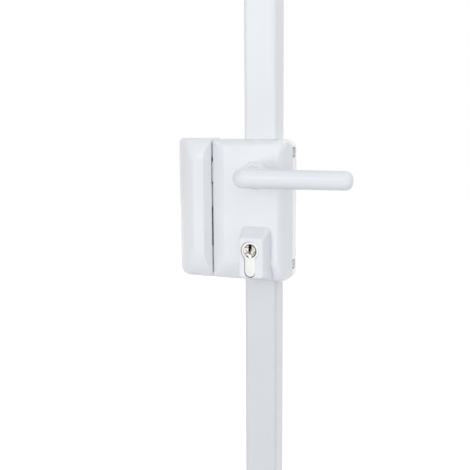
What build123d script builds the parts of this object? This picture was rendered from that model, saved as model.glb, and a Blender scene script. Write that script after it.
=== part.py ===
from build123d import *
from math import acos, asin, ceil, cos, pi, radians, sin, tan
import os

# Multipoint rim lock for a door, in millimetres.
# X runs right, Z runs up and Y runs back into the door: the door face is the plane y = 0,
# and the spindle's axis crosses it at the origin. A depth is a distance in front of the door face.

# Lock case
case_left = -48.1
case_right = 29.5
case_top = 33.2
case_bottom = -102.7
base_depth = 11.0
case_depth = 34.8
case_edge_depth = 24.0
shoulder_right = 26.3
face_left = -32.0
face_right = 19.5
face_top = 27.3
face_bottom = -84.5
plate = 2.5
base_wall = 2.0
cover_wall = 2.0
boss_back = 26.2
boss_depth = 50.5

# Cylinder of the euro profile, one side of 30 mm and one of 10 mm
cylinder_z = -70.0
profile_radius = 8.5
profile_height = 33.0
profile_width = 10.0
cylinder_face = 49.6
cylinder_front_side = 30.0
cylinder_back_side = 10.0
cam_slot = 10.0
plug_radius = 6.5
plug_play = 0.05
plug_nose_radius = 6.3
plug_nose = 1.6
cylinder_screw_radius = 2.45
profile_play = 0.45
profile_drop = 0.5
slot_middle = cylinder_face - cylinder_front_side
screw_z = cylinder_z + profile_radius - profile_height + profile_width / 2

# Gear train: the key's cam gear turns the wheel, whose pinion drives three racks
module = 1.4
cam_teeth = 10
wheel_teeth = 20
pinion_teeth = 10
pressure_angle = 25.0
addendum = 0.8 * module
dedendum = 1.0 * module
backlash = 0.15
tooth_pitch = pi * module
pinion_pitch_radius = module * pinion_teeth / 2
gear_z = cylinder_z + module * (cam_teeth + wheel_teeth) / 2
throw = 2 * pi * pinion_pitch_radius * cam_teeth / wheel_teeth
post_radius = 2.5
hub_radius = 4.5

# Layers of the mechanism, as depths
rod_back = 4.0
rod_front = 8.0
rack_lap = 6.0
bolt_back = 11.5
bolt_front = 22.8
tail_back = 12.0
tail_front = 15.0
wheel_back = 20.6
wheel_front = 23.6

# Bolts
latch_top = 11.5
latch_bottom = -8.5
latch_front = 23.6
latch_nose = -60.0
latch_rear = -28.0
dead_top = -37.0
dead_bottom = -69.5
dead_nose = -69.0
dead_rear = -38.0
bolt_play = 0.3
window_above = 4.3
window_below = 1.8
window_front = 24.8

# Handle
spindle_side = 7.0
neck_radius = 9.0
grip_depth = 72.0
grip_end = 102.6
bend_radius = 5.0
follower_radius = 9.0
journal_radius = 8.0
journal_play = 0.05
rear_journal_radius = 6.5
arm_reach = 17.0
arm_half_width = 3.0

# Rods and their covers
rod_width = 16.0
cover_width = 32.6
cover_depth = 23.4
cover_skin = 1.5
cover_corner = 4.6
cover_gap = 0.1
upper_cover_top = 290.0
lower_cover_bottom = -406.0

# Keepers
gap = 1.1
keeper_left = -91.4
keeper_right = case_left - gap
keeper_top = case_top + 0.7
keeper_bottom = case_bottom - 1.7
keeper_depth = 33.2
keeper_lip = 25.0
keeper_ridge = -54.3
keeper_edge_depth = 8.0
end_width = 54.0
end_depth = 39.0
end_height = 72.0
end_gap = 1.5

# Holes for the screws that fasten the lock to the door and its frame
mount_radius = 2.75
mount_x = (-37.0, 19.0)
mount_z = (-88.0, 20.0)
keeper_mount_x = -80.0
keeper_mount_z = (-82.0, 14.0)
end_mount_x = 17.0
guide_hole_radius = 2.2


def block(x, depth, z, mode=Mode.ADD):
    """Straight block between the (low, high) pairs of x, depth and z."""
    with Locations(((x[0] + x[1]) / 2, -(depth[0] + depth[1]) / 2, (z[0] + z[1]) / 2)):
        Box(x[1] - x[0], depth[1] - depth[0], z[1] - z[0], mode=mode)


def round_bar(x, z, radius, depth, mode=Mode.ADD):
    """Round bar along Y between the (low, high) depths."""
    with Locations(Location((x, -(depth[0] + depth[1]) / 2, z), (90, 0, 0))):
        Cylinder(radius, depth[1] - depth[0], mode=mode)


def cross_bar(depth, z, radius, x, mode=Mode.ADD):
    """Round bar along X between the (low, high) x."""
    with Locations(Location(((x[0] + x[1]) / 2, -depth, z), (0, 90, 0))):
        Cylinder(radius, x[1] - x[0], mode=mode)


def upright_bar(x, depth, radius, z, mode=Mode.ADD):
    """Round bar along Z between the (low, high) z."""
    with Locations((x, -depth, (z[0] + z[1]) / 2)):
        Cylinder(radius, z[1] - z[0], mode=mode)


def profile_face(corners, inset=0.0):
    """Face inside a closed line of (u, v, corner radius), its edge set in by inset."""
    with BuildLine() as edge_line:
        FilletPolyline(*[(u, v) for u, v, _ in corners], radius=[r for _, _, r in corners], close=True)
    make_face(edge_line.edges())
    if inset:
        offset(amount=-inset, kind=Kind.INTERSECTION, mode=Mode.REPLACE)


def bevelled_form(plan, side, front, inset=0.0):
    """Solid with the given plan (x, depth), side view (depth, z) and front view (x, z), set in by inset.
    A depth of 0 is the open back, so a form that is set in runs out through it."""
    back = 3 * inset
    with BuildPart() as form:
        with BuildSketch(Plane.XY.offset(-500)):
            profile_face([(x, -depth or back, r) for x, depth, r in plan], inset)
        extrude(amount=1000)
        with BuildSketch(Plane.YZ.offset(-150)):
            profile_face([(-depth or back, z, r) for depth, z, r in side], inset)
        extrude(amount=300, mode=Mode.INTERSECT)
        with BuildSketch(Plane.XZ.offset(-20)):
            profile_face(front, inset)
        extrude(amount=120, mode=Mode.INTERSECT)
    return form.part


def involute(angle):
    """Involute function of an angle in radians."""
    return tan(angle) - angle


def gear_points(teeth, first_tooth):
    """Outline of a spur gear about the origin: first_tooth is the angle in degrees of one tooth's middle."""
    pitch_radius = module * teeth / 2
    base_radius = pitch_radius * cos(radians(pressure_angle))
    root = pitch_radius - dedendum
    tip = pitch_radius + addendum
    pitch_half = pi / (2 * teeth) - backlash / pitch_radius / 2
    start = max(base_radius, root)
    radii = [start + (tip - start) * i / 4 for i in range(5)]
    flank = [(r, pitch_half + involute(radians(pressure_angle)) - involute(acos(base_radius / r)))
             for r in radii]
    if root < base_radius:
        flank.insert(0, (root, flank[0][1]))
    points = []
    for tooth in range(teeth):
        middle = radians(first_tooth) + 2 * pi * tooth / teeth
        points += [(r * cos(middle - half), r * sin(middle - half)) for r, half in flank]
        points += [(r * cos(middle + half), r * sin(middle + half)) for r, half in reversed(flank)]
    return points


def gear_face(teeth, first_tooth, x, z):
    """Face of a spur gear about (x, z)."""
    with Locations((x, z)):
        with BuildSketch(mode=Mode.PRIVATE) as outline:
            with BuildLine():
                Polyline(*gear_points(teeth, first_tooth), close=True)
            make_face()
        add(outline.sketch)


def rack_points(low, high, tooth_at, back):
    """Rack from u = low to high: teeth stand up (+v) from the pitch line, and its back is at v = -back."""
    slope = tan(radians(pressure_angle))
    half = (tooth_pitch - 2 * backlash) / 4
    root_half = half + dedendum * slope
    tip_half = half - addendum * slope
    points = [(low, -back), (low, -dedendum)]
    centre = tooth_at + tooth_pitch * ceil((low + root_half - tooth_at) / tooth_pitch)
    while centre + root_half < high:
        points += [(centre - root_half, -dedendum), (centre - tip_half, addendum)]
        points += [(centre + tip_half, addendum), (centre + root_half, -dedendum)]
        centre += tooth_pitch
    return points + [(high, -dedendum), (high, -back)]


def euro_profile(play=0.0, longer=0.0):
    """Euro cylinder profile about the plug's axis in a front sketch, wider all round by play, and longer."""
    with Locations((0, cylinder_z)):
        Circle(profile_radius + play)
    stem_end = profile_radius - profile_height + profile_width / 2 - longer
    with Locations((0, cylinder_z + stem_end / 2)):
        Rectangle(profile_width + 2 * play, -stem_end)
    with Locations((0, cylinder_z + stem_end)):
        Circle(profile_width / 2 + play)


def save(part, name):
    """Labels a finished piece and writes it."""
    part.label = name
    export_step(part, f"parts/{name}.step")


os.makedirs("parts", exist_ok=True)


# Case: base plate, a pressed tray that is screwed to the door
corner_left = 2.5
corner_low = 6.5
corner_high = 9.0
base_outline = [(case_left, case_bottom, corner_left), (case_right, case_bottom, corner_low),
                (case_right, case_top, corner_high), (case_left, case_top, corner_left)]
slot_top = (15.7, 25.6)
slot_bottom = (-92.5, -83.3)
slot_depth = (2.6, base_depth)

with BuildPart() as base_plate:
    with BuildSketch(Plane.XZ):
        profile_face(base_outline)
    extrude(amount=base_depth)
    with BuildSketch(Plane.XZ.offset(plate)):
        profile_face(base_outline, base_wall)
    extrude(amount=base_depth - plate, mode=Mode.SUBTRACT)
    for slot in (slot_top, slot_bottom):
        block((case_right - 3, case_right + 1), slot_depth, slot, mode=Mode.SUBTRACT)
    for notch in ((5.7, 13.6), (-81.5, -73.3)):
        block((case_right - 3, case_right + 1), (0.6, 1.8), notch, mode=Mode.SUBTRACT)
    block((-8.6, 14.4), (3.4, 8.6), (case_top - 3, case_top + 1), mode=Mode.SUBTRACT)
    block((-14.4, 8.6), (3.4, 8.6), (case_bottom - 1, case_bottom + 3), mode=Mode.SUBTRACT)
    round_bar(0, 0, 9.0, (-1, plate + 1), mode=Mode.SUBTRACT)
    round_bar(0, gear_z, post_radius, (-1, plate + 1), mode=Mode.SUBTRACT)
    for x in mount_x:
        for z in mount_z:
            round_bar(x, z, mount_radius, (-1, plate + 1), mode=Mode.SUBTRACT)
save(base_plate.part, "base_plate")


# Case: cover, a cast shell with soft edges and the cylinder's boss on its face
soft_steps = 7
bevel_power = 1.6


def eased(low, high, turn, power):
    """Value that runs from low to high while turn runs from 0 to a quarter turn."""
    return low + (high - low) * (1 - cos(turn) ** power)


def cover_section(step, wall):
    """Depth and outline of one section through the cover's soft front edge, a wall inside its surface."""
    turn = radians(90 * step / soft_steps)
    depth = case_edge_depth + (case_depth - case_edge_depth) * sin(turn) ** bevel_power - wall * sin(turn)
    left = eased(case_left, face_left, turn, bevel_power) + wall
    right = eased(shoulder_right, face_right, turn, 1) - wall
    top = eased(case_top, face_top, turn, bevel_power) - wall
    bottom = eased(case_bottom, face_bottom, turn, bevel_power) + wall
    corner = corner_left + 2.5 * step / soft_steps
    return depth, [(left, bottom, corner), (right, bottom, corner_low), (right, top, corner_high),
                   (left, top, corner)]


def cover_form(wall=0.0):
    """Solid of the cover's outside, or of the space a wall inside it."""
    with BuildPart() as form:
        with BuildSketch(Plane.XY.offset(-500)):
            profile_face([(case_left + wall, 0, 0), (case_right - wall, 0, 0),
                          (case_right - wall, -base_depth, 0),
                          (shoulder_right - wall, -case_edge_depth, 0),
                          (case_left + wall, -case_edge_depth, 0)])
        extrude(amount=1000)
        with BuildSketch(Plane.XZ.offset(-20)):
            profile_face([(case_left + wall, case_bottom + wall, corner_left),
                          (case_right - wall, case_bottom + wall, corner_low),
                          (case_right - wall, case_top - wall, corner_high),
                          (case_left + wall, case_top - wall, corner_left)])
        extrude(amount=120, mode=Mode.INTERSECT)
        for step in range(soft_steps + 1):
            depth, corners = cover_section(step, wall)
            with BuildSketch(Plane.XZ.offset(depth)):
                profile_face(corners)
        loft()
    return form.part


boss_base = (-13.8, 15.6, -100.5, -46.8)
boss_face = (-11.2, 12.8, -95.4, -58.2)
boss_base_corner = 4.0
boss_face_corner = 3.0
boss_edge_radius = 1.8


def boss_section(limits, radius):
    """Rounded rectangle of a (left, right, bottom, top) section of the cylinder's boss."""
    left, right, bottom, top = limits
    with Locations(((left + right) / 2, (bottom + top) / 2)):
        RectangleRounded(right - left, top - bottom, radius)


with BuildPart() as boss:
    with BuildSketch(Plane.XZ.offset(boss_back)):
        boss_section(boss_base, boss_base_corner)
    extrude(amount=case_depth - 3 - boss_back)
    with BuildSketch(Plane.XZ.offset(case_depth - 3)):
        boss_section(boss_base, boss_base_corner)
    with BuildSketch(Plane.XZ.offset(boss_depth)):
        boss_section(boss_face, boss_face_corner)
    loft(ruled=True)
    fillet(boss.faces().sort_by(Axis.Y)[0].edges(), boss_edge_radius)

with BuildPart() as case_cover:
    add(cover_form())
    block((case_left - 1, case_right + 1), (-1, base_depth), (case_bottom - 1, case_top + 1),
          mode=Mode.SUBTRACT)
    add(cover_form(cover_wall), mode=Mode.SUBTRACT)
    add(boss.part)
    with BuildSketch(Plane.XZ.offset(base_depth)):
        euro_profile(profile_play, profile_drop)
    extrude(amount=boss_depth, mode=Mode.SUBTRACT)
    round_bar(0, 0, journal_radius + journal_play, (case_depth - 5, case_depth + 5), mode=Mode.SUBTRACT)
    block((case_left - 1, case_left + 4), (base_depth - 1, latch_front + bolt_play),
          (latch_bottom - window_below, latch_top + window_above), mode=Mode.SUBTRACT)
    block((case_left - 1, case_left + 3), (base_depth - 1, bolt_front + bolt_play),
          (dead_bottom - window_below, dead_top + window_above), mode=Mode.SUBTRACT)
    cross_bar(slot_middle, screw_z, 3.4, (case_left - 1, case_left + 3), mode=Mode.SUBTRACT)
    for slot in (slot_top, slot_bottom):
        middle = (slot[0] + slot[1]) / 2
        block((case_right - 8, case_right - base_wall - 0.2), (4, base_depth + 6), (middle - 4, middle + 4))
        block((case_right - 8, case_right - 2.5), (base_depth, base_depth + 6), (middle - 4, middle + 4))
        cross_bar(6.8, middle, 1.65, (case_right - 9, case_right), mode=Mode.SUBTRACT)
save(case_cover.part, "case_cover")


# Case: the two screws that hold the cover, seen in the slots of the base plate's side
with BuildPart() as case_cover_screws:
    for slot in (slot_top, slot_bottom):
        middle = (slot[0] + slot[1]) / 2
        cross_bar(6.8, middle, 1.6, (case_right - 8, case_right - base_wall - 0.2))
        cross_bar(6.8, middle, 3.2, (case_right - base_wall - 0.2, case_right - 0.4))
        block((case_right - 1.2, case_right), (3, 10.6), (middle - 0.4, middle + 0.4), mode=Mode.SUBTRACT)
save(case_cover_screws.part, "case_cover_screws")


# Case: guide plate behind the left wall, with the windows that the bolts slide in
guide_right = case_left + 4.2
with BuildPart() as bolt_guide:
    block((case_left + 2.2, guide_right), (plate, case_edge_depth - 1.1), (-97, 29))
    block((guide_right, guide_right + 8), (plate, plate + 2), (-97, 29))
    block((case_left, guide_right + 1), (bolt_back - bolt_play, latch_front + bolt_play),
          (latch_bottom - bolt_play, latch_top + bolt_play), mode=Mode.SUBTRACT)
    block((case_left, guide_right + 1), (bolt_back - bolt_play, bolt_front + bolt_play),
          (dead_bottom - bolt_play, dead_top + bolt_play), mode=Mode.SUBTRACT)
    cross_bar(slot_middle, screw_z, cylinder_screw_radius + 0.1, (case_left, guide_right + 1),
              mode=Mode.SUBTRACT)
    for z in mount_z:
        round_bar(mount_x[0], z, 5.5, (plate - 1, plate + 3), mode=Mode.SUBTRACT)
save(bolt_guide.part, "bolt_guide")


# Case: bush that the follower turns in, at the back
with BuildPart() as follower_bush:
    round_bar(0, 0, 9.0, (0, plate + 1.1))
    round_bar(0, 0, rear_journal_radius + journal_play, (-1, plate + 2), mode=Mode.SUBTRACT)
save(follower_bush.part, "follower_bush")


# Case: bridges that keep the rods flat against the base plate
def rod_bridge(left, right, z):
    """Strap over a rod, standing on the base plate on two legs."""
    block((left - 2, right + 2), (rod_front + 0.3, rod_front + 1.5), z)
    block((left - 2, left), (plate, rod_front + 0.3), z)
    block((right, right + 2), (plate, rod_front + 0.3), z)


with BuildPart() as upper_bridge:
    rod_bridge(-9, 14.4, (24, 30))
save(upper_bridge.part, "upper_bridge")

with BuildPart() as lower_bridge:
    rod_bridge(-14.4, 9, (-98, -92))
save(lower_bridge.part, "lower_bridge")


# Case: post and circlip of the gears
with BuildPart() as gear_post:
    round_bar(0, gear_z, post_radius, (0, wheel_front + 2))
    with BuildSketch(Plane.XZ.offset(wheel_front + 0.4)):
        with Locations((0, gear_z)):
            Circle(post_radius + 1)
            Circle(post_radius - 0.5, mode=Mode.SUBTRACT)
    extrude(amount=0.8, mode=Mode.SUBTRACT)
save(gear_post.part, "gear_post")

with BuildPart() as gear_circlip:
    with BuildSketch(Plane.XZ.offset(wheel_front + 0.4)):
        with Locations((0, gear_z)):
            Circle(post_radius + 1.6)
            Circle(post_radius - 0.5, mode=Mode.SUBTRACT)
        with Locations((0, gear_z + post_radius + 1)):
            Rectangle(2.4, 3.6, mode=Mode.SUBTRACT)
    extrude(amount=0.8)
save(gear_circlip.part, "gear_circlip")


# Gears
with BuildPart() as drive_pinion:
    with BuildSketch(Plane.XZ.offset(rod_back - 0.3)):
        gear_face(pinion_teeth, 0, 0, gear_z)
    extrude(amount=tail_front + 1 - rod_back + 0.3)
    round_bar(0, gear_z, hub_radius, (tail_front + 1, wheel_front))
    round_bar(0, gear_z, post_radius + 0.05, (0, wheel_front + 1), mode=Mode.SUBTRACT)
save(drive_pinion.part, "drive_pinion")

with BuildPart() as drive_wheel:
    with BuildSketch(Plane.XZ.offset(wheel_back)):
        gear_face(wheel_teeth, -90 + 180 / wheel_teeth, 0, gear_z)
        with Locations((0, gear_z)):
            Circle(hub_radius, mode=Mode.SUBTRACT)
    extrude(amount=wheel_front - wheel_back)
save(drive_wheel.part, "drive_wheel")


# Cylinder: body, plug with its keyway, cam gear and fixing screw
with BuildPart() as cylinder_body:
    with BuildSketch(Plane.XZ.offset(slot_middle - cylinder_back_side)):
        euro_profile()
    extrude(amount=cylinder_front_side + cylinder_back_side)
    block((-10, 10), (slot_middle - cam_slot / 2, slot_middle + cam_slot / 2),
          (cylinder_z - 9.4, cylinder_z + 10), mode=Mode.SUBTRACT)
    round_bar(0, cylinder_z, plug_radius + plug_play, (slot_middle, cylinder_face + 1), mode=Mode.SUBTRACT)
    round_bar(0, cylinder_z, 4 + plug_play, (slot_middle - 9, slot_middle), mode=Mode.SUBTRACT)
    cross_bar(slot_middle, screw_z, 2.5, (-10, 10), mode=Mode.SUBTRACT)
save(cylinder_body.part, "cylinder_body")

keyway = [(-1.3, 7.0), (1.3, 7.0), (1.3, 5.0), (1.9, 4.2), (1.6, 2.9), (0.8, 2.3), (1.0, 0.9), (0.4, 0.2),
          (0.6, -2.0), (0.3, -3.0), (-0.3, -3.0), (-0.3, -0.8), (-1.4, -0.2), (-2.0, 0.8), (-1.3, 1.9),
          (-1.8, 3.4), (-1.3, 4.6)]

with BuildPart() as cylinder_plug:
    round_bar(0, cylinder_z, plug_radius, (slot_middle + cam_slot / 2 + 0.2, cylinder_face - plug_nose))
    round_bar(0, cylinder_z, plug_nose_radius, (cylinder_face - plug_nose, cylinder_face - 0.2))
    round_bar(0, cylinder_z, 4, (slot_middle - 8.5, slot_middle + cam_slot / 2 + 0.2))
    with BuildSketch(Plane.XZ.offset(cylinder_face - 21)):
        with Locations((0, cylinder_z)):
            with BuildSketch(mode=Mode.PRIVATE) as keyway_face:
                with BuildLine():
                    Polyline(*keyway, close=True)
                make_face()
            add(keyway_face.sketch)
    extrude(amount=23, mode=Mode.SUBTRACT)
save(cylinder_plug.part, "cylinder_plug")

with BuildPart() as cam_gear:
    with BuildSketch(Plane.XZ.offset(slot_middle - 4)):
        gear_face(cam_teeth, 90, 0, cylinder_z)
        with Locations((0, cylinder_z)):
            Circle(4, mode=Mode.SUBTRACT)
    extrude(amount=8.6)
save(cam_gear.part, "cam_gear")

with BuildPart() as cylinder_screw:
    cross_bar(slot_middle, screw_z, cylinder_screw_radius, (case_left + 1, 4.5))
    cross_bar(slot_middle, screw_z, 3.2, (case_left + 0.2, case_left + 2.2))
    block((case_left, case_left + 1.2), (slot_middle - 4, slot_middle + 4), (screw_z - 0.5, screw_z + 0.5),
          mode=Mode.SUBTRACT)
save(cylinder_screw.part, "cylinder_screw")


# Latch bolt: head with its bevel at the back, tail over the follower, and lug beside the follower's arm
lug_left = arm_half_width + bolt_play
with BuildPart() as latch_bolt:
    block((latch_nose, latch_rear), (bolt_back, latch_front), (latch_bottom, latch_top))
    with BuildSketch(Plane.XY.offset(latch_bottom - 1)):
        with BuildLine():
            Polyline((latch_nose - 1, -bolt_back + 1), (latch_nose + 11, -bolt_back + 1),
                     (latch_nose + 11, -bolt_back), (latch_nose, -latch_front + 2),
                     (latch_nose - 1, -latch_front + 2), close=True)
        make_face()
    extrude(amount=latch_top - latch_bottom + 2, mode=Mode.SUBTRACT)
    block((latch_rear - 4, 9), (bolt_back + 1, tail_front + 0.5), (10, 20))
    block((lug_left, 9), (tail_front + 0.5, 21), (10, 20))
    block((latch_rear - 4, latch_rear), (bolt_back + 1, latch_front - 1), (8, 14))
    cross_bar(17, -2, 3.2, (-46, latch_rear + 1), mode=Mode.SUBTRACT)
save(latch_bolt.part, "latch_bolt")

with BuildPart() as spring_bracket:
    block((-13.5, -11.5), (plate, latch_front - 1.5), (-7, 3))
    block((-11.5, -9.6), (plate, plate + 1.1), (-7, 3))
save(spring_bracket.part, "spring_bracket")


def coil(name, plane, radius, wire, pitch, turns):
    """Open coil spring about the plane's normal, with straight ends; prints its least gap to itself."""
    helix = Helix(pitch=pitch, height=pitch * turns, radius=radius)
    start = Line(helix @ 0 - (helix % 0) * 2 * wire, helix @ 0)
    finish = Line(helix @ 1, helix @ 1 + (helix % 1) * 2 * wire)
    path = plane.location * Wire([start.edge(), helix.edge(), finish.edge()])
    with BuildPart() as spring:
        with BuildSketch(Plane(path @ 0, z_dir=path % 0)):
            Circle(wire / 2)
        sweep(path=path, transition=Transition.RIGHT)
    print(f"{name}: {turns} turns, wire {wire} mm, gap between turns {pitch - wire:.2f} mm")
    return spring.part


latch_spring = coil("latch_spring", Plane((-45.1, -17, -2), x_dir=(0, 1, 0), z_dir=(1, 0, 0)),
                    2.2, 0.8, 3.0, 10)
save(latch_spring, "latch_spring")


# Dead bolt: block, toothed tail and the rivets that join them
with BuildPart() as dead_bolt:
    block((dead_nose, dead_rear), (bolt_back, bolt_front), (dead_bottom, dead_top))
    fillet(dead_bolt.faces().sort_by(Axis.X)[0].edges(), 1.0)
    block((-52, dead_rear + 1), (tail_back, tail_front), (-50, dead_top + 1), mode=Mode.SUBTRACT)
    for x in (-48, -42):
        round_bar(x, -45, 1.5, (bolt_back - 1, bolt_front + 1), mode=Mode.SUBTRACT)
save(dead_bolt.part, "dead_bolt")

rack_plane = Plane((0, 0, gear_z + pinion_pitch_radius), x_dir=(-1, 0, 0), z_dir=(0, -1, 0))
with BuildPart() as dead_bolt_rack:
    with BuildSketch(rack_plane.offset(tail_back)):
        with BuildLine():
            Polyline(*rack_points(-4, 35, 0, 7.5), close=True)
        make_face()
    extrude(amount=tail_front - tail_back)
    block((-52, -36), (tail_back, tail_front), (-50, dead_top))
    block((-40, -32), (tail_back, tail_front), (-50, gear_z + pinion_pitch_radius + 7.5))
    for x in (-48, -42):
        round_bar(x, -45, 1.5, (tail_back - 1, tail_front + 1), mode=Mode.SUBTRACT)
save(dead_bolt_rack.part, "dead_bolt_rack")

with BuildPart() as dead_bolt_rivets:
    for x in (-48, -42):
        round_bar(x, -45, 1.5, (bolt_back, bolt_front))
save(dead_bolt_rivets.part, "dead_bolt_rivets")


# Rods: each has a toothed foot in the case, riveted to a flat rod that runs to its end keeper
strip_back = 6.6
upper_rod_bottom = case_top - 1.2
lower_rod_top = case_bottom + 1.2
upper_rod_tip = upper_cover_top + throw
lower_rod_tip = lower_cover_bottom - throw
lap_height = 16.0
rivet_x = (-4.0, 4.0)


def rod_rivets(z_low):
    """Two rivets through a lap joint whose lower edge is at z_low."""
    for x in rivet_x:
        round_bar(x, z_low + lap_height / 2, 1.5, (rod_back, rod_front))


def rod_bar(z_low, z_high, lap_low):
    """Flat rod with a half-thickness lap from lap_low upwards and a tapered tip."""
    block((-rod_width / 2, rod_width / 2), (rod_back, rod_front), (z_low, z_high))
    block((-rod_width, rod_width), (rod_back - 1, rack_lap), (lap_low, lap_low + lap_height),
          mode=Mode.SUBTRACT)
    for x in rivet_x:
        round_bar(x, lap_low + lap_height / 2, 1.5, (rod_back - 1, rod_front + 1), mode=Mode.SUBTRACT)


def tip_edges(part, z):
    """Upright edges of a rod's tip at height z."""
    return part.edges().filter_by(Axis.Y).filter_by_position(Axis.Z, z - 0.1, z + 0.1)


with BuildPart() as upper_rack:
    with BuildSketch(Plane((pinion_pitch_radius, 0, gear_z), x_dir=(0, 0, 1),
                           z_dir=(0, -1, 0)).offset(rod_back)):
        with BuildLine():
            Polyline(*rack_points(-3.6, throw + 4, tooth_pitch / 2, strip_back), close=True)
        make_face()
    extrude(amount=rod_front - rod_back)
    block((pinion_pitch_radius + dedendum, pinion_pitch_radius + strip_back), (rod_back, rod_front),
          (gear_z + throw, upper_rod_bottom))
    block((-6, pinion_pitch_radius + strip_back), (rod_back, rack_lap),
          (upper_rod_bottom, upper_rod_bottom + lap_height))
    for x in rivet_x:
        round_bar(x, upper_rod_bottom + lap_height / 2, 1.5, (rod_back - 1, rod_front + 1),
                  mode=Mode.SUBTRACT)
save(upper_rack.part, "upper_rack")

with BuildPart() as upper_rod:
    rod_bar(upper_rod_bottom, upper_rod_tip, upper_rod_bottom)
    chamfer(tip_edges(upper_rod, upper_rod_tip), 3)
save(upper_rod.part, "upper_rod")

with BuildPart() as upper_rod_rivets:
    rod_rivets(upper_rod_bottom)
save(upper_rod_rivets.part, "upper_rod_rivets")

with BuildPart() as lower_rack:
    with BuildSketch(Plane((-pinion_pitch_radius, 0, gear_z), x_dir=(0, 0, -1),
                           z_dir=(0, -1, 0)).offset(rod_back)):
        with BuildLine():
            Polyline(*rack_points(-3.6, throw + 4, tooth_pitch / 2, strip_back), close=True)
        make_face()
    extrude(amount=rod_front - rod_back)
    block((-pinion_pitch_radius - strip_back, -pinion_pitch_radius - dedendum), (rod_back, rod_front),
          (lower_rod_top, gear_z - throw))
    block((-pinion_pitch_radius - strip_back, 6), (rod_back, rack_lap),
          (lower_rod_top - lap_height, lower_rod_top))
    for x in rivet_x:
        round_bar(x, lower_rod_top - lap_height / 2, 1.5, (rod_back - 1, rod_front + 1), mode=Mode.SUBTRACT)
save(lower_rack.part, "lower_rack")

with BuildPart() as lower_rod:
    rod_bar(lower_rod_tip, lower_rod_top, lower_rod_top - lap_height)
    chamfer(tip_edges(lower_rod, lower_rod_tip), 3)
save(lower_rod.part, "lower_rod")

with BuildPart() as lower_rod_rivets:
    rod_rivets(lower_rod_top - lap_height)
save(lower_rod_rivets.part, "lower_rod_rivets")


# Rod covers: channels that are open at the back
def channel(z_low, z_high):
    """Channel over a rod between two heights, with rounded front corners."""
    half = cover_width / 2
    with BuildSketch(Plane.XY.offset(z_low)) as section:
        profile_face([(-half, 0, 0), (half, 0, 0), (half, -cover_depth, cover_corner),
                      (-half, -cover_depth, cover_corner)])
    extrude(section.sketch, amount=z_high - z_low)
    half -= cover_skin
    with BuildSketch(Plane.XY.offset(z_low)) as hollow:
        profile_face([(-half, 1, 0), (half, 1, 0),
                      (half, cover_skin - cover_depth, cover_corner - cover_skin),
                      (-half, cover_skin - cover_depth, cover_corner - cover_skin)])
    extrude(hollow.sketch, amount=z_high - z_low, mode=Mode.SUBTRACT)


with BuildPart() as upper_rod_cover:
    channel(case_top + cover_gap, upper_cover_top)
save(upper_rod_cover.part, "upper_rod_cover")

with BuildPart() as lower_rod_cover:
    channel(lower_cover_bottom, case_bottom - cover_gap)
save(lower_rod_cover.part, "lower_rod_cover")


# Rod guides: blocks on the door that the rods slide through and the covers clip over
def rod_guide(z):
    """Guide block about height z with the rod's slot and two screw holes."""
    half = cover_width / 2 - cover_skin - 0.05
    block((-half, half), (0, 14), (z - 12, z + 12))
    block((-rod_width / 2 - 0.3, rod_width / 2 + 0.3), (rod_back - 0.3, rod_front + 0.3), (z - 13, z + 13),
          mode=Mode.SUBTRACT)
    for side in (-1, 1):
        round_bar(side * 11.2, z, guide_hole_radius, (-1, 15), mode=Mode.SUBTRACT)


with BuildPart() as upper_rod_guide:
    rod_guide(200)
save(upper_rod_guide.part, "upper_rod_guide")

with BuildPart() as lower_rod_guide:
    rod_guide(-290)
save(lower_rod_guide.part, "lower_rod_guide")


# Handle: rose, lever, spindle, follower, set screw and return spring
rose_radius = 13.4
rose_bore = neck_radius + 0.05
rose_front = case_depth + 8

with BuildPart() as handle_rose:
    with BuildSketch(Plane.XY):
        with BuildLine():
            Polyline((rose_radius, -case_depth), (rose_bore, -case_depth), (rose_bore, -rose_front))
            ThreePointArc((rose_bore, -rose_front), (rose_radius - 1.1, -case_depth - 4.6),
                          (rose_radius, -case_depth))
        make_face()
    revolve(axis=Axis.Y)
save(handle_rose.part, "handle_rose")

neck_base = case_depth + 1.4
bend_depth = grip_depth - bend_radius
with BuildPart() as handle_lever:
    round_bar(0, 0, neck_radius, (neck_base, bend_depth))
    with BuildSketch(Plane.XZ.offset(bend_depth)):
        Circle(neck_radius)
        with Locations((bend_radius + neck_radius, 0)):
            Rectangle(2 * neck_radius, 2 * neck_radius, mode=Mode.SUBTRACT)
    revolve(axis=Axis((bend_radius, -bend_depth, 0), (0, 0, 1)), revolution_arc=90)
    with BuildSketch(Plane((bend_radius, -grip_depth, 0), x_dir=(0, 1, 0), z_dir=(1, 0, 0))):
        Circle(neck_radius)
    with BuildSketch(Plane((grip_end, -grip_depth, 0.2), x_dir=(0, 1, 0), z_dir=(1, 0, 0))):
        Ellipse(7.6, 8.4)
    loft()
    fillet(handle_lever.edges().sort_by(Axis.X)[-1], 6.8)
    block((-spindle_side / 2, spindle_side / 2), (neck_base - 1, 62), (-spindle_side / 2, spindle_side / 2),
          mode=Mode.SUBTRACT)
    upright_bar(0, 50, 2.5, (-12, 0), mode=Mode.SUBTRACT)
save(handle_lever.part, "handle_lever")

with BuildPart() as handle_set_screw:
    upright_bar(0, 50, 2.5, (-8.6, -spindle_side / 2))
    with BuildSketch(Plane.XY.offset(-8.6)):
        with Locations((0, -50)):
            RegularPolygon(1.4, 6)
    extrude(amount=2, mode=Mode.SUBTRACT)
save(handle_set_screw.part, "handle_set_screw")

with BuildPart() as spindle:
    block((-spindle_side / 2, spindle_side / 2), (16, 60), (-spindle_side / 2, spindle_side / 2))
save(spindle.part, "spindle")

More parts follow.
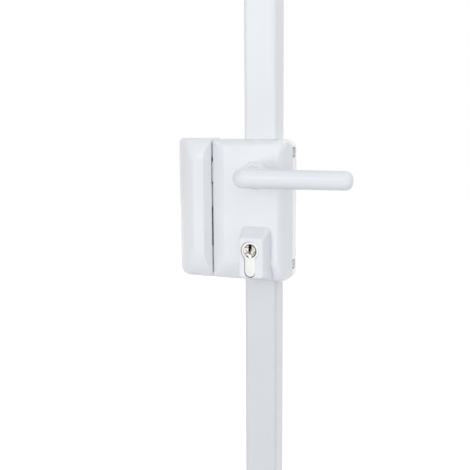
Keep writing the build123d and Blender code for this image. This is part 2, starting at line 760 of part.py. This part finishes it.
with BuildPart() as follower:
    round_bar(0, 0, rear_journal_radius, (0.4, 9))
    round_bar(0, 0, follower_radius, (9, 22))
    round_bar(0, 0, journal_radius, (22, neck_base))
    block((-arm_half_width, arm_half_width), (17, 21), (0, arm_reach))
    round_bar(0, arm_reach, arm_half_width, (17, 21))
    block((-spindle_side / 2, spindle_side / 2), (-1, neck_base + 1), (-spindle_side / 2, spindle_side / 2),
          mode=Mode.SUBTRACT)
save(follower.part, "follower")

handle_spring = coil("handle_spring", Plane((0, -23.8, 0), x_dir=(1, 0, 0), z_dir=(0, -1, 0)),
                     9.4, 1.1, 1.7, 4)
save(handle_spring, "handle_spring")


# Side keeper: strike base, cover and screws, on the frame beside the case
keeper_steps = 12
keeper_power = 1.3
keeper_left_power = 1.6
keeper_face_left = -65.0
keeper_face_bottom = -76.0
keeper_face_top = 15.0
keeper_low_start = 16.4
keeper_high_start = 19.5


def rounded_off(depth, start, low, high):
    """Value that stays low up to the depth start and then runs to high at the keeper's full depth."""
    if depth <= start:
        return low
    turn = asin(min(1.0, (depth - start) / (keeper_depth - start)) ** (1 / keeper_power))
    return eased(low, high, turn, keeper_power)


def keeper_section(step, wall):
    """Depth and outline of one section through the side keeper's rounded front, a wall inside its surface."""
    turn = radians(90 * step / keeper_steps)
    depth = keeper_edge_depth + (keeper_depth - keeper_edge_depth) * sin(turn) ** keeper_left_power
    left = eased(keeper_left, keeper_face_left, turn, keeper_left_power) + wall
    right = keeper_right - wall
    bottom = rounded_off(depth, keeper_low_start, keeper_bottom, keeper_face_bottom) + wall
    top = rounded_off(depth, keeper_high_start, keeper_top, keeper_face_top) - wall
    low_corner = 7.5 + 1.5 * step / keeper_steps
    high_corner = 5 + 4 * step / keeper_steps
    return depth - wall * sin(turn), [(left, bottom, low_corner), (right, bottom, 2.1), (right, top, 2.1),
                                      (left, top, high_corner)]


def keeper_form(wall=0.0):
    """Solid of the side keeper's outside, or of the space a wall inside it."""
    back = 3 * wall
    with BuildPart() as form:
        with BuildSketch(Plane.XZ.offset(-20)):
            profile_face(keeper_section(0, wall)[1])
        extrude(amount=keeper_edge_depth + 20)
        for step in range(keeper_steps + 1):
            depth, corners = keeper_section(step, wall)
            with BuildSketch(Plane.XZ.offset(depth)):
                profile_face(corners)
        loft()
        with BuildSketch(Plane.XY.offset(-500)):
            profile_face([(keeper_left - 5, back, 0), (keeper_right, back, 0),
                          (keeper_right, -keeper_lip, 1.5), (keeper_ridge, -keeper_depth, 0.8),
                          (keeper_left - 5, -keeper_depth, 0)], wall)
        extrude(amount=1000, mode=Mode.INTERSECT)
    return form.part


keeper_outer = keeper_form()
keeper_inner = keeper_form(cover_wall)
strike_right = keeper_right - cover_wall - 0.1
post_radius_outer = 4.0
cover_screw_radius = 1.9


def posts(places, form):
    """Round posts at (x, z) places that stand up from the base to the inside of a form."""
    with BuildPart() as standing:
        for x, z in places:
            round_bar(x, z, post_radius_outer, (plate, 60))
        add(form, mode=Mode.INTERSECT)
        for x, z in places:
            round_bar(x, z, cover_screw_radius, (0, 14), mode=Mode.SUBTRACT)
    return standing.part


def cover_screws(places):
    """Screws that hold a cover from behind its base, with their slots."""
    for x, z in places:
        round_bar(x, z, cover_screw_radius, (1.9, 13.5))
        round_bar(x, z, 3.6, (0.3, 2.0))
        block((x - 3, x + 3), (0, 0.9), (z - 0.45, z + 0.45), mode=Mode.SUBTRACT)


def screw_seats(places):
    """Counterbored holes of the cover screws in a base."""
    for x, z in places:
        round_bar(x, z, cover_screw_radius + 0.1, (-1, plate + 1), mode=Mode.SUBTRACT)
        round_bar(x, z, 3.8, (-1, 2.0), mode=Mode.SUBTRACT)


side_posts = [(-64.0, 23.0), (-64.0, -88.0)]
side_post_solids = posts(side_posts, keeper_outer)

with BuildPart() as side_keeper_cover:
    add(keeper_outer)
    add(keeper_inner, mode=Mode.SUBTRACT)
    add(side_post_solids)
    for bottom, top in ((latch_bottom, latch_top), (dead_bottom, dead_top)):
        block((keeper_right - 3, keeper_right + 1), (base_depth - 1, window_front),
              (bottom - window_below, top + window_above), mode=Mode.SUBTRACT)
save(side_keeper_cover.part, "side_keeper_cover")

with BuildPart() as side_keeper_base:
    block((keeper_left + 2.2, strike_right), (0, plate), (keeper_bottom + 2.2, keeper_top - 2.2))
    fillet(side_keeper_base.edges().filter_by(Axis.Y).sort_by(Axis.X)[:2], 7.8)
    fillet(side_keeper_base.edges().filter_by(Axis.Y).sort_by(Axis.X)[-2:], 2.3)
    block((strike_right - 2.5, strike_right), (plate, 23.5), (-86, 25))
    block((strike_right - 3, strike_right + 1), (bolt_back - bolt_play, latch_front + bolt_play),
          (latch_bottom - bolt_play, latch_top + bolt_play), mode=Mode.SUBTRACT)
    block((strike_right - 3, strike_right + 1), (bolt_back - bolt_play, bolt_front + bolt_play),
          (dead_bottom - bolt_play, dead_top + bolt_play), mode=Mode.SUBTRACT)
    screw_seats(side_posts)
    for z in keeper_mount_z:
        round_bar(keeper_mount_x, z, mount_radius, (-1, plate + 1), mode=Mode.SUBTRACT)
save(side_keeper_base.part, "side_keeper_base")

with BuildPart() as side_keeper_screws:
    cover_screws(side_posts)
save(side_keeper_screws.part, "side_keeper_screws")


# End keepers: one above the upper rod and one below the lower rod, on the frame
def end_keeper(name, start, way):
    """Cover, base and screws of the keeper that begins at height start and runs up (way 1) or down (-1)."""
    half = end_width / 2
    end = start + way * end_height
    low, high = min(start, end), max(start, end)
    plan = [(-half, 0, 0), (half, 0, 0), (half, end_depth, 5), (-half, end_depth, 5)]
    side = [(0, low, 0), (end_depth, low, 4), (end_depth, high, 4), (0, high, 0)]
    front = [(-half, low, 4), (half, low, 4), (half, high, 4), (-half, high, 4)]
    outer = bevelled_form(plan, side, front)
    inner = bevelled_form(plan, side, front, cover_wall)
    places = [(x, start + way * 12) for x in (-19.5, 19.5)]
    post_solids = posts(places, outer)

    with BuildPart() as cover:
        add(outer)
        add(inner, mode=Mode.SUBTRACT)
        add(post_solids)
        block((-9.5, 9.5), (-1, rod_front + 1.5), (start - 3, start + 3), mode=Mode.SUBTRACT)
    save(cover.part, f"{name}_keeper_cover")

    with BuildPart() as base:
        block((2.2 - half, half - 2.2), (0, plate), (low + 2.2, high - 2.2))
        fillet(base.edges().filter_by(Axis.Y), 2.5)
        socket = sorted((start + way * 3, start + way * 38))
        block((-12.5, 12.5), (plate, rod_front + 4.5), socket)
        block((-rod_width / 2 - bolt_play, rod_width / 2 + bolt_play),
              (rod_back - bolt_play, rod_front + bolt_play),
              (socket[0] - 1, socket[1] + 1), mode=Mode.SUBTRACT)
        screw_seats(places)
        for x in (-end_mount_x, end_mount_x):
            round_bar(x, start + way * 52, mount_radius, (-1, plate + 1), mode=Mode.SUBTRACT)
    save(base.part, f"{name}_keeper_base")

    with BuildPart() as screws:
        cover_screws(places)
    save(screws.part, f"{name}_keeper_screws")


end_keeper("top", upper_cover_top + end_gap, 1)
end_keeper("bottom", lower_cover_bottom - end_gap, -1)

print("throw", round(throw, 3), "gear centre", gear_z)
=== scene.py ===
import math
import bpy
import numpy as np
from mathutils import Matrix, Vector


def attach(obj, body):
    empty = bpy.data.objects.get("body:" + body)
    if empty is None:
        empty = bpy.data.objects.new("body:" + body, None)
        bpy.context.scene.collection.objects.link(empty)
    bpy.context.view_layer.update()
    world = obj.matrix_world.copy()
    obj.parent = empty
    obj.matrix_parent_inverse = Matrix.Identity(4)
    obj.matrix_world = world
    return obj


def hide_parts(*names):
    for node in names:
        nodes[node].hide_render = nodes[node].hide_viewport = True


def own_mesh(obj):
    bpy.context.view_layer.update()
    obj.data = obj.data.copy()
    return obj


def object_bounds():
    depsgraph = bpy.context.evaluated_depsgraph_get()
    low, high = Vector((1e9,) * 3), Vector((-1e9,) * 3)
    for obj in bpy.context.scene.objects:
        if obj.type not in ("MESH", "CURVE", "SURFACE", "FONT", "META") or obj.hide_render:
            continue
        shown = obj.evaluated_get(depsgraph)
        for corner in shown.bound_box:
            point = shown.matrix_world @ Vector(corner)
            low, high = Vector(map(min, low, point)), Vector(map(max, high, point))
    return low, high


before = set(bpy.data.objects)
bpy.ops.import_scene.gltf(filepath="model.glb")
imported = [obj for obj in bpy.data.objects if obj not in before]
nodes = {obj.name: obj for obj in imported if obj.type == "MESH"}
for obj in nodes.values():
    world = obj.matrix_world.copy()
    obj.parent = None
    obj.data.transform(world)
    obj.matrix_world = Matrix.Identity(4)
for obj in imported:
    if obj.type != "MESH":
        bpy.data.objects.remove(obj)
cadLow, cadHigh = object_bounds()
print("frame loaded:", len(nodes), "solids")


# the matrix of an object with these three axes at this place
def framed(right, above, back, place):
    matrix = np.eye(4)
    matrix[:3, :3] = np.column_stack([right, above, back])
    matrix[:3, 3] = place
    return Matrix(matrix.tolist())


# the camera stands a little to the right of the lock and looks slightly down; the angles are in degrees
cameraValues = {"place": (0.25754, -0.73061, 0.05761), "turn": 21.81, "tilt": 8.76, "roll": -0.374,
                "lens": 60.36, "seen": (0.05, 20)}


def placeCamera(values):
    turn, tilt, roll = (math.radians(values[key]) for key in ("turn", "tilt", "roll"))
    ahead = np.array([-math.sin(turn) * math.cos(tilt), math.cos(turn) * math.cos(tilt), -math.sin(tilt)])
    level = np.array([math.cos(turn), math.sin(turn), 0.0])
    above = np.cross(level, ahead)
    across = math.cos(roll) * level + math.sin(roll) * above
    upward = math.cos(roll) * above - math.sin(roll) * level
    lens = bpy.data.cameras.new("camera")
    lens.lens = values["lens"]
    lens.clip_start, lens.clip_end = values["seen"]
    holder = bpy.data.objects.new("camera", lens)
    holder.matrix_world = framed(across, upward, -ahead, values["place"])
    bpy.context.scene.collection.objects.link(holder)
    bpy.context.scene.camera = holder


placeCamera(cameraValues)
print("camera placed")


# a small kit for wiring a material: each call makes one node and gives back what comes out of it
class Wiring:
    def __init__(self, name):
        self.material = bpy.data.materials.new(name)
        self.material.use_nodes = True
        self.tree = self.material.node_tree
        self.tree.nodes.clear()
        self.output = self.tree.nodes.new("ShaderNodeOutputMaterial")
        self.shader = self.tree.nodes.new("ShaderNodeBsdfPrincipled")
        self.join(self.shader.outputs[0], self.output.inputs["Surface"])
        self.place = self.tree.nodes.new("ShaderNodeTexCoord").outputs["Object"]

    def join(self, start, end):
        self.tree.links.new(start, end)

    def value(self, socket, number):
        self.shader.inputs[socket].default_value = number

    def drive(self, socket, output):
        self.join(output, self.shader.inputs[socket])

    def mapped(self, scale, shift=(0.0, 0.0, 0.0)):
        mapping = self.tree.nodes.new("ShaderNodeMapping")
        mapping.inputs["Location"].default_value = shift
        mapping.inputs["Scale"].default_value = scale
        self.join(self.place, mapping.inputs["Vector"])
        return mapping.outputs["Vector"]

    def noise(self, scale, detail=3.0, rough=0.5, vector=None):
        made = self.tree.nodes.new("ShaderNodeTexNoise")
        made.inputs["Scale"].default_value = scale
        made.inputs["Detail"].default_value = detail
        made.inputs["Roughness"].default_value = rough
        self.join(vector or self.place, made.inputs["Vector"])
        return made.outputs["Fac"]

    # a value that runs from start to end becomes one that runs from low to high, and stops at both
    def fitted(self, value, low, high, start=0.0, end=1.0):
        made = self.tree.nodes.new("ShaderNodeMapRange")
        made.inputs["From Min"].default_value = start
        made.inputs["From Max"].default_value = end
        made.inputs["To Min"].default_value = low
        made.inputs["To Max"].default_value = high
        self.join(value, made.inputs["Value"])
        return made.outputs["Result"]

    # the first colour where the value is 0, the second where it is 1
    def blended(self, value, first, second):
        made = self.tree.nodes.new("ShaderNodeMix")
        made.data_type = "RGBA"
        self.join(value, made.inputs["Factor"])
        for socket, color in (("A", first), ("B", second)):
            if isinstance(color, tuple):
                made.inputs[socket].default_value = (*color, 1)
            else:
                self.join(color, made.inputs[socket])
        return made.outputs["Result"]

    def reckoned(self, operation, *terms):
        made = self.tree.nodes.new("ShaderNodeMath")
        made.operation = operation
        for term, socket in zip(terms, made.inputs):
            self.join(term, socket)
        return made.outputs[0]

    def raised(self, height, distance):
        made = self.tree.nodes.new("ShaderNodeBump")
        made.inputs["Strength"].default_value = 1.0
        made.inputs["Distance"].default_value = distance
        self.join(height, made.inputs["Height"])
        return made.outputs["Normal"]


# glossy white paint, a hair cooler than neutral, with the faint orange peel of sprayed paint: two colours
# that drift into each other, a range of roughness, and the height of the peel
paintValues = {
    "white_paint": {"dark": (0.785, 0.805, 0.84), "light": (0.815, 0.835, 0.86),
                    "shine": (0.20, 0.26), "peel": 0.000012},
    "lever_paint": {"dark": (0.74, 0.768, 0.80), "light": (0.765, 0.79, 0.82),
                    "shine": (0.16, 0.22), "peel": 0.000006},
    "cover_paint": {"dark": (0.765, 0.792, 0.825), "light": (0.78, 0.808, 0.838),
                    "shine": (0.20, 0.26), "peel": 0.000006},
    "base_paint": {"dark": (0.94, 0.945, 0.955), "light": (0.97, 0.975, 0.98),
                   "shine": (0.30, 0.38), "peel": 0.000010},
    # a greyer copy of the cover paint for the lower cover: painted shade
    "shaded_cover_paint": {"dark": (0.66, 0.685, 0.718), "light": (0.675, 0.70, 0.73),
                    "shine": (0.20, 0.26), "peel": 0.000006},
}
# what the paints share: scale and detail of each grain, and the part of its range that is used
paintGrain = {"drift": (14.0, 4.0), "driftEnds": (0.35, 0.65), "shine": (60.0, 5.0),
              "shineEnds": (0.3, 0.7), "peel": (420.0, 2.0), "mirror": 0.5, "coat": 0.3, "coatShine": 0.08}
otherFinish = {"lower_rod_cover": "shaded_cover_paint"}    # the lower cover takes a greyer copy of the cover paint: painted shade


def paint(name, values, grain):
    made = Wiring(name)
    drift = made.fitted(made.noise(*grain["drift"]), 0.0, 1.0, *grain["driftEnds"])
    made.drive("Base Color", made.blended(drift, values["dark"], values["light"]))
    made.drive("Roughness", made.fitted(made.noise(*grain["shine"]), *values["shine"], *grain["shineEnds"]))
    made.drive("Normal", made.raised(made.noise(*grain["peel"]), values["peel"]))
    made.value("Specular IOR Level", grain["mirror"])
    made.value("Coat Weight", grain["coat"])
    made.value("Coat Roughness", grain["coatShine"])
    return made.material


# bare and plated metals: two colours, a range of roughness, and the size of the grain along X, Y and Z
metalValues = {
    "zinc_steel": {"dark": (0.52, 0.53, 0.56), "light": (0.66, 0.67, 0.69),
                   "shine": (0.29, 0.42), "grain": (40, 40, 40), "depth": 0.000008},
    "bolt_nickel": {"dark": (0.78, 0.78, 0.77), "light": (0.88, 0.88, 0.87),
                    "shine": (0.14, 0.24), "grain": (20, 500, 500), "depth": 0.000006},
    "hardened_steel": {"dark": (0.40, 0.40, 0.42), "light": (0.52, 0.52, 0.53),
                       "shine": (0.29, 0.44), "grain": (300, 300, 30), "depth": 0.00001},
    "cylinder_nickel": {"dark": (0.69, 0.695, 0.675), "light": (0.78, 0.78, 0.765),
                        "shine": (0.12, 0.22), "grain": (700, 30, 120), "depth": 0.000004},
    "bush_brass": {"dark": (0.66, 0.48, 0.22), "light": (0.80, 0.62, 0.34),
                   "shine": (0.18, 0.26), "grain": (200, 30, 200), "depth": 0.000006},
    "spring_steel": {"dark": (0.38, 0.39, 0.41), "light": (0.50, 0.51, 0.53),
                     "shine": (0.18, 0.26), "grain": (300, 300, 300), "depth": 0.000004},
    "screw_steel": {"dark": (0.50, 0.50, 0.50), "light": (0.62, 0.62, 0.62),
                    "shine": (0.29, 0.40), "grain": (200, 200, 60), "depth": 0.000006},
}
metalGrain = {"brushed": (1.0, 3.0, 0.6), "stain": (90.0, 4.0), "ends": (0.3, 0.7)}


def metal(name, values, grain):
    made = Wiring(name)
    made.value("Metallic", 1.0)
    brushed = made.noise(*grain["brushed"], made.mapped(values["grain"]))
    stain = made.fitted(made.noise(*grain["stain"]), 0.0, 1.0, *grain["ends"])
    made.drive("Base Color", made.blended(stain, values["dark"], values["light"]))
    made.drive("Roughness", made.fitted(brushed, *values["shine"], *grain["ends"]))
    made.drive("Normal", made.raised(brushed, values["depth"]))
    return made.material


# the plug's face has a painted reflection: black in patches and towards its rim except at the left, rose at
# the left and olive at the right elsewhere, and a painted highlight, bright at the bottom; rim, notLeft, side
# and the two highlight pairs say where a change starts and ends, in metres from the plug's axis
plugValues = {
    "height": -0.070, "rim": (0.0052, 0.0060), "notLeft": (-0.0042, -0.0022), "side": (-0.0015, 0.0025),
    # the two pairs on the next line place the painted highlight, bright below the keyway
    "highlightWide": (0.0009, 0.0019), "highlightLow": (-0.0040, -0.0030),
    "patch": (430.0, 2.0, 0.5), "patchEnds": (0.38, 0.52), "patchLeast": 0.30,
    # on the next two lines, dark, rose and olive are the colours of the painted reflection, and the first
    # colour after them is the painted highlight
    "dark": (0.035, 0.034, 0.030), "rose": (0.80, 0.72, 0.70), "olive": (0.60, 0.61, 0.52),
    "highlightColor": (0.97, 0.97, 0.96), "shine": (0.14, 0.26), "shineEnds": (0.3, 0.7),
    "scratch": (900.0, 3.0), "depth": 0.00001,
}


def plugFace(values):
    made = Wiring("plug_brass")
    made.value("Metallic", 1.0)
    flat = made.mapped((1.0, 0.0, 1.0), (0.0, 0.0, -values["height"]))
    apart = made.tree.nodes.new("ShaderNodeSeparateXYZ")
    made.join(flat, apart.inputs[0])
    away = made.tree.nodes.new("ShaderNodeVectorMath")
    away.operation = "LENGTH"
    made.join(flat, away.inputs[0])
    rim = made.fitted(away.outputs["Value"], 0.0, 1.0, *values["rim"])
    # painted dark reflection: black towards the rim, except at the left
    darkRim = made.reckoned("MULTIPLY", rim, made.fitted(apart.outputs["X"], 0.0, 1.0, *values["notLeft"]))
    grain = made.noise(*values["patch"])
    patches = made.fitted(grain, values["patchLeast"], 1.0, *values["patchEnds"])
    lightShare = made.reckoned("MULTIPLY", patches, made.fitted(darkRim, 1.0, 0.0))
    side = made.fitted(apart.outputs["X"], 0.0, 1.0, *values["side"])
    shaded = made.blended(lightShare, values["dark"], made.blended(side, values["rose"], values["olive"]))
    # painted highlight: bright at the bottom of the face, below the keyway
    across = made.reckoned("ABSOLUTE", apart.outputs["X"])
    paintedHighlight = made.reckoned("MULTIPLY", made.fitted(across, 1.0, 0.0, *values["highlightWide"]),
                            made.fitted(apart.outputs["Z"], 1.0, 0.0, *values["highlightLow"]))
    made.drive("Base Color", made.blended(paintedHighlight, shaded, values["highlightColor"]))
    made.drive("Roughness", made.fitted(grain, *values["shine"], *values["shineEnds"]))
    made.drive("Normal", made.raised(made.noise(*values["scratch"]), values["depth"]))
    return made.material


# off-white nylon, slightly see-through
nylonValues = {"dark": (0.74, 0.74, 0.72), "light": (0.82, 0.82, 0.80), "drift": 200.0,
               "shine": (0.40, 0.52), "shineGrain": 600.0, "grain": (900.0, 2.0), "depth": 0.00001,
               "through": 0.1, "throughDepth": 0.002}


def nylon(values):
    made = Wiring("guide_nylon")
    made.drive("Base Color", made.blended(made.noise(values["drift"]), values["dark"], values["light"]))
    made.drive("Roughness", made.fitted(made.noise(values["shineGrain"]), *values["shine"]))
    made.drive("Normal", made.raised(made.noise(*values["grain"]), values["depth"]))
    made.value("Subsurface Weight", values["through"])
    made.value("Subsurface Scale", values["throughDepth"])
    return made.material


finishes = {name: paint(name, values, paintGrain) for name, values in paintValues.items()}
finishes |= {name: metal(name, values, metalGrain) for name, values in metalValues.items()}
finishes["plug_brass"] = plugFace(plugValues)
finishes["guide_nylon"] = nylon(nylonValues)
for name, solid in nodes.items():
    for slot in solid.material_slots:
        wanted = otherFinish.get(name, slot.material.name.split(".")[0])
        if wanted not in finishes:
            print("no finish for", name, slot.material.name)
            continue
        slot.material = finishes[wanted]
print("finishes on", len(nodes), "solids")


# the latch's spring shortens as the latch goes back; this coil, of one fixed length, takes the place of the
# stiff one of the CAD;
# fixedEnd is the X that stays on the bracket, travel is how far the latch pushes the coil together, and steps
# and around count the rings in a turn and the points on a ring
springValues = {"start": (-0.0451, -0.017, -0.002), "radius": 0.0022, "wire": 0.0008, "pitch": 0.003,
                "turns": 10, "lead": 0.0016, "fixedEnd": -0.0135, "travel": 0.0121, "steps": 24, "around": 10}


# the middle line winds round X at an even pitch, with a short straight lead at each end; a ring square to it
# is carried along, and each end closes on its middle point
def windSpring(name, values):
    start, radius, around = np.array(values["start"]), values["radius"], values["around"]
    turn = np.linspace(0, 2 * math.pi * values["turns"], values["steps"] * values["turns"] + 1)
    rise = values["pitch"] / (2 * math.pi)
    still = np.zeros_like(turn)
    outward = np.column_stack([still, np.cos(turn), np.sin(turn)])
    ahead = np.column_stack([still + rise, -radius * np.sin(turn), radius * np.cos(turn)])
    ahead /= np.linalg.norm(ahead, axis=1)[:, None]
    line = np.column_stack([rise * turn, still, still]) + radius * outward
    line = np.vstack([line[0] - ahead[0] * values["lead"], line, line[-1] + ahead[-1] * values["lead"]])
    outward = np.vstack([outward[:1], outward, outward[-1:]])
    ahead = np.vstack([ahead[:1], ahead, ahead[-1:]])
    level = np.cross(ahead, outward)
    angle = np.linspace(0, 2 * math.pi, around, endpoint=False)[None, :, None]
    ring = np.cos(angle) * outward[:, None] + np.sin(angle) * level[:, None]
    rings = line[:, None] + values["wire"] / 2 * ring
    points = np.vstack([rings.reshape(-1, 3), line[:1], line[-1:]]) + start
    count = len(line)
    j = np.arange(around)
    k = (j + 1) % around
    first = np.arange(count - 1)[:, None] * around
    quads = np.stack([first + j, first + k, first + around + k, first + around + j], axis=-1).reshape(-1, 4)
    last = (count - 1) * around
    foot = np.column_stack([np.full(around, count * around), k, j])
    head = np.column_stack([np.full(around, count * around + 1), last + j, last + k])
    shape = bpy.data.meshes.new(name)
    shape.from_pydata(points.tolist(), [], quads.tolist() + foot.tolist() + head.tolist())
    shape.shade_smooth()
    spring = bpy.data.objects.new(name, shape)
    bpy.context.scene.collection.objects.link(spring)
    spring.data.materials.append(finishes["spring_steel"])
    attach(spring, "case")
    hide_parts("latch_spring")
    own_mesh(spring)


windSpring("latchSpring", springValues)
print("latch spring wound")


# 1 for a ray that the camera, a mirror or a glass sees, and 0 for the light that falls on the pieces
def seenRays(tree):
    path = tree.nodes.new("ShaderNodeLightPath")
    seen = path.outputs["Is Camera Ray"]
    for kind in ("Is Glossy Ray", "Is Transmission Ray"):
        larger = tree.nodes.new("ShaderNodeMath")
        larger.operation = "MAXIMUM"
        tree.links.new(seen, larger.inputs[0])
        tree.links.new(path.outputs[kind], larger.inputs[1])
        seen = larger.outputs[0]
    return seen


# soft studio light: an even room, brighter from the right, a small lamp at the left front that stands lower
# than the lever, a soft box above it that makes the lever's long highlight, and a lamp near the camera
roomValues = {"light": 0.75, "rise": 0.03, "right": 0.38, "color": (0.985, 0.993, 1.0)}
lampValues = {
    "lowLamp": {"turn": -14, "rise": -9, "away": 1.6, "size": (0.30, 0.30), "power": 4.8, "mirrored": False},
    "softBox": {"turn": -20, "rise": 16, "away": 1.2, "size": (0.60, 0.44), "power": 1.0, "mirrored": True},
    "frontLamp": {"turn": 15, "rise": 5, "away": 1.6, "size": (0.50, 0.50), "power": 3.3, "mirrored": False},
}


# the room's strength is its light plus a share of the direction's X and Z; behind the object it shows white
def lightRoom(values):
    room = bpy.data.worlds.new("room")
    bpy.context.scene.world = room
    room.use_nodes = True
    tree = room.node_tree
    tree.nodes.clear()
    output = tree.nodes.new("ShaderNodeOutputWorld")
    soft = tree.nodes.new("ShaderNodeBackground")
    soft.inputs["Color"].default_value = (*values["color"], 1)
    way = tree.nodes.new("ShaderNodeVectorMath")
    way.operation = "DOT_PRODUCT"
    way.inputs[1].default_value = (values["right"], 0.0, values["rise"])
    tree.links.new(tree.nodes.new("ShaderNodeTexCoord").outputs["Generated"], way.inputs[0])
    level = tree.nodes.new("ShaderNodeMath")
    level.operation = "ADD"
    level.inputs[1].default_value = values["light"]
    tree.links.new(way.outputs["Value"], level.inputs[0])
    tree.links.new(level.outputs[0], soft.inputs["Strength"])
    white = tree.nodes.new("ShaderNodeBackground")
    white.inputs["Strength"].default_value = 1.0
    white.inputs["Color"].default_value = (1, 1, 1, 1)
    either = tree.nodes.new("ShaderNodeMixShader")
    tree.links.new(seenRays(tree), either.inputs["Fac"])
    tree.links.new(soft.outputs[0], either.inputs[1])
    tree.links.new(white.outputs[0], either.inputs[2])
    tree.links.new(either.outputs[0], output.inputs["Surface"])


# a lamp looks at the origin from its turn round Z and its rise, in degrees
def placeLamp(name, values):
    lamp = bpy.data.lights.new(name, "AREA")
    lamp.shape = "RECTANGLE"
    lamp.size, lamp.size_y = values["size"]
    lamp.energy = values["power"]
    holder = bpy.data.objects.new(name, lamp)
    holder.visible_glossy = values["mirrored"]
    turn, rise = math.radians(values["turn"]), math.radians(values["rise"])
    back = np.array([math.sin(turn) * math.cos(rise), -math.cos(turn) * math.cos(rise), math.sin(rise)])
    side = np.cross((0, 0, 1), back)
    side /= np.linalg.norm(side)
    holder.matrix_world = framed(side, np.cross(back, side), back, back * values["away"])
    bpy.context.scene.collection.objects.link(holder)


lightRoom(roomValues)
for name, values in lampValues.items():
    placeLamp(name, values)
print("room and", len(lampValues), "lamps")


# the floor lies just under the bottom keeper, pale and soft, and glows where it is seen, so that it meets the
# white of the room
floorValues = {"radius": 4.0, "corners": 96, "drop": 0.0008, "color": (0.50, 0.50, 0.51), "shade": 0.99,
               "drift": 2.0, "shine": 0.7, "mirror": 0.2, "glow": 0.80}


def layFloor(values):
    corners = values["corners"]
    around = np.linspace(0, 2 * math.pi, corners, endpoint=False)
    points = np.column_stack([np.cos(around), np.sin(around), np.zeros(corners)]) * values["radius"]
    points[:, 2] = cadLow.z - values["drop"]
    shape = bpy.data.meshes.new("floor")
    shape.from_pydata(points.tolist(), [], [list(range(corners))])
    floor = bpy.data.objects.new("floor", shape)
    bpy.context.scene.collection.objects.link(floor)
    made = Wiring("floorPaint")
    shaded = tuple(c * values["shade"] for c in values["color"])
    made.drive("Base Color", made.blended(made.noise(values["drift"]), values["color"], shaded))
    made.value("Roughness", values["shine"])
    made.value("Specular IOR Level", values["mirror"])
    glow = made.tree.nodes.new("ShaderNodeEmission")
    glow.inputs["Strength"].default_value = values["glow"]
    both = made.tree.nodes.new("ShaderNodeAddShader")
    either = made.tree.nodes.new("ShaderNodeMixShader")
    made.join(made.shader.outputs[0], both.inputs[0])
    made.join(glow.outputs[0], both.inputs[1])
    made.join(seenRays(made.tree), either.inputs["Fac"])
    made.join(made.shader.outputs[0], either.inputs[1])
    made.join(both.outputs[0], either.inputs[2])
    made.join(either.outputs[0], made.output.inputs["Surface"])
    floor.data.materials.append(made.material)


layFloor(floorValues)

bpy.context.scene.view_settings.view_transform = "Standard"
